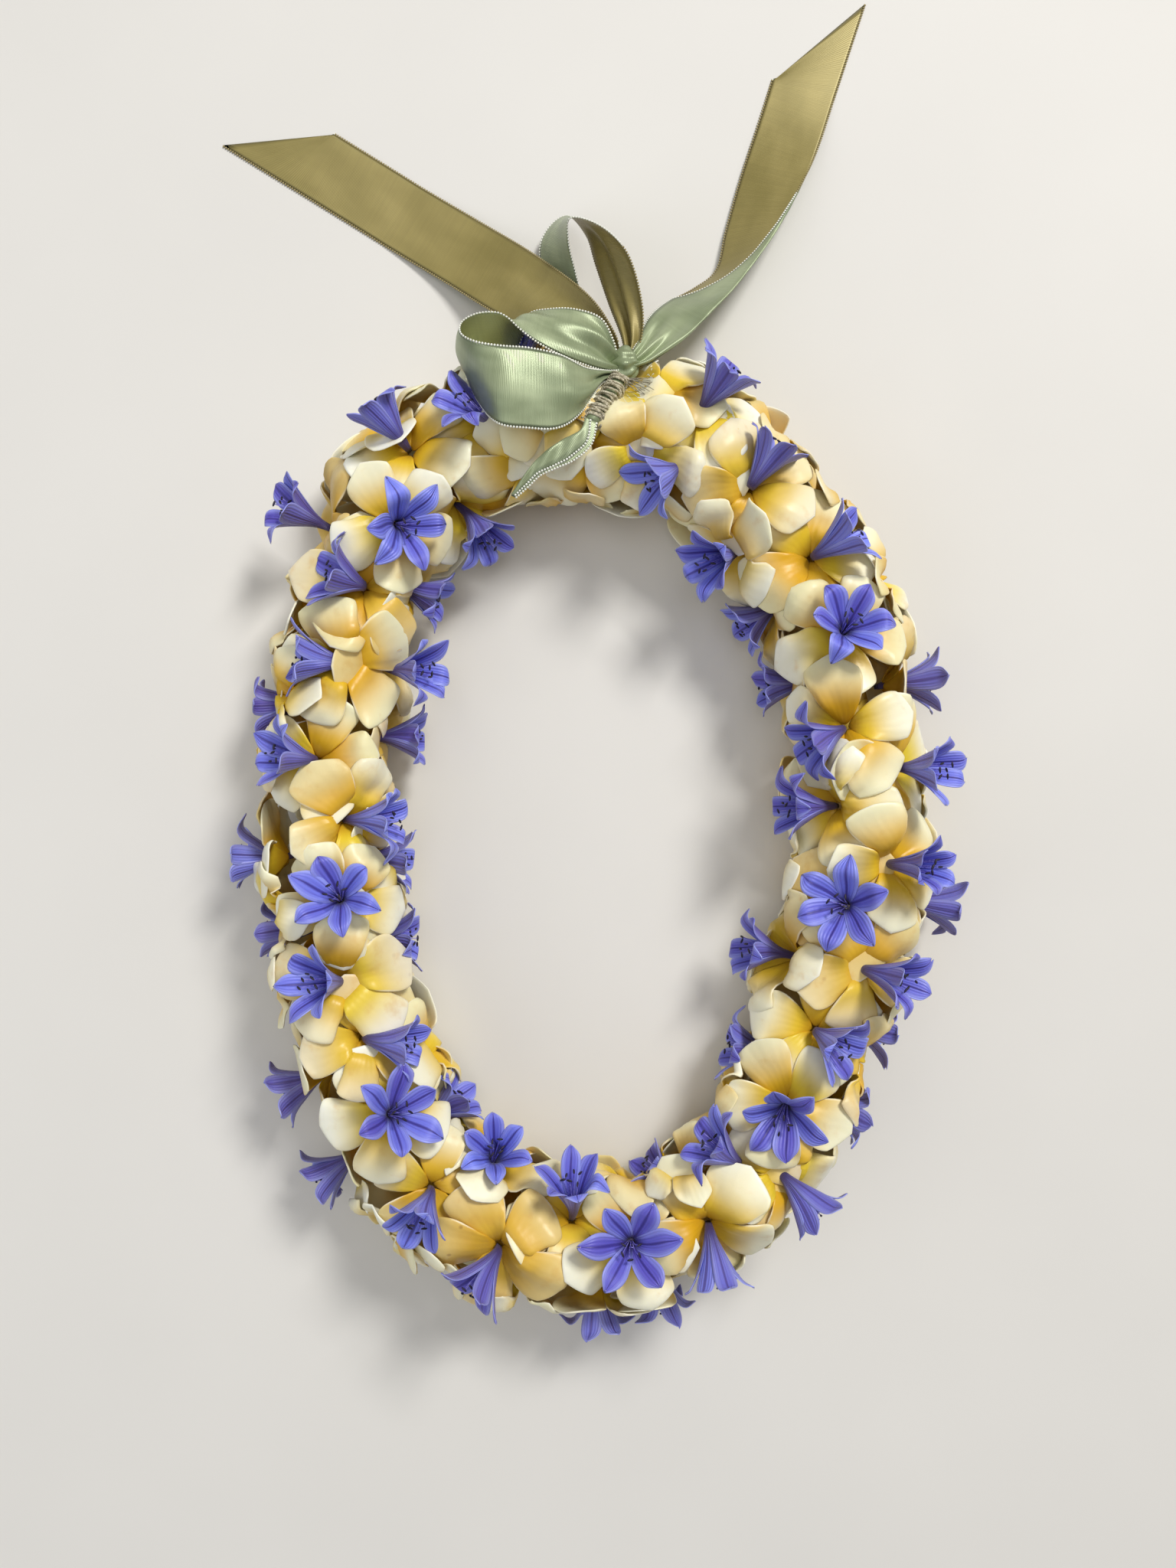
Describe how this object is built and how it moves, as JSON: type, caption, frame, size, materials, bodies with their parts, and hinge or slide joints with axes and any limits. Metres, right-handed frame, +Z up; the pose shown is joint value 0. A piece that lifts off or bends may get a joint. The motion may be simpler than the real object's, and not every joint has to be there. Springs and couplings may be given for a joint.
{
  "type": "fresh flower lei",
  "caption": "Fresh flower lei: cream waxy blooms with violet florets threaded into a closed garland and tied with a sage satin ribbon bow, lying flat.",
  "frame": {"origin": "on the table, under the middle of the whole piece seen from above", "axes": "+Z up from the table; +Y from the middle of the lei toward its ribbon bow; +X to the right as the lei is seen from above with the bow at the top"},
  "size_m": [0.4024, 0.7264, 0.0978],
  "materials": {
    "cream_petal": "waxy petal, cream at the edge and yellow toward the throat",
    "violet_petal": "soft matte petal with a dark middle stripe",
    "ribbon_satin": "sage satin with a pale picot edge",
    "twine": "dull twisted twine",
    "string": "dull cotton string"
  },
  "bodies": {
    "root": {"ribbon_knot": "ribbon_satin", "twine_wrap": "twine", "ribbon_loop_left": "ribbon_satin", "ribbon_end": "ribbon_satin", "ribbon_loop_upper": "ribbon_satin", "ribbon_tail_right": "ribbon_satin", "ribbon_tail_left": "ribbon_satin", "string": "string", "violet_01": "violet_petal", "violet_02": "violet_petal", "violet_03": "violet_petal", "violet_04": "violet_petal", "violet_05": "violet_petal", "violet_06": "violet_petal", "violet_07": "violet_petal", "violet_08": "violet_petal", "violet_09": "violet_petal", "violet_10": "violet_petal", "violet_11": "violet_petal", "violet_12": "violet_petal", "violet_13": "violet_petal", "violet_14": "violet_petal", "violet_15": "violet_petal", "violet_16": "violet_petal", "violet_17": "violet_petal", "violet_18": "violet_petal", "violet_19": "violet_petal", "violet_20": "violet_petal", "violet_21": "violet_petal", "violet_22": "violet_petal", "violet_23": "violet_petal", "violet_24": "violet_petal", "violet_25": "violet_petal", "violet_26": "violet_petal", "violet_27": "violet_petal", "violet_28": "violet_petal", "violet_29": "violet_petal", "violet_30": "violet_petal", "violet_31": "violet_petal", "violet_32": "violet_petal", "violet_33": "violet_petal", "violet_34": "violet_petal", "violet_35": "violet_petal", "violet_36": "violet_petal", "violet_37": "violet_petal", "violet_38": "violet_petal", "violet_39": "violet_petal", "violet_40": "violet_petal", "violet_41": "violet_petal", "violet_42": "violet_petal", "cream_01": "cream_petal", "cream_02": "cream_petal", "cream_03": "cream_petal", "cream_04": "cream_petal", "cream_05": "cream_petal", "cream_06": "cream_petal", "cream_07": "cream_petal", "cream_08": "cream_petal", "cream_09": "cream_petal", "cream_10": "cream_petal"}
  },
  "joints": []
}
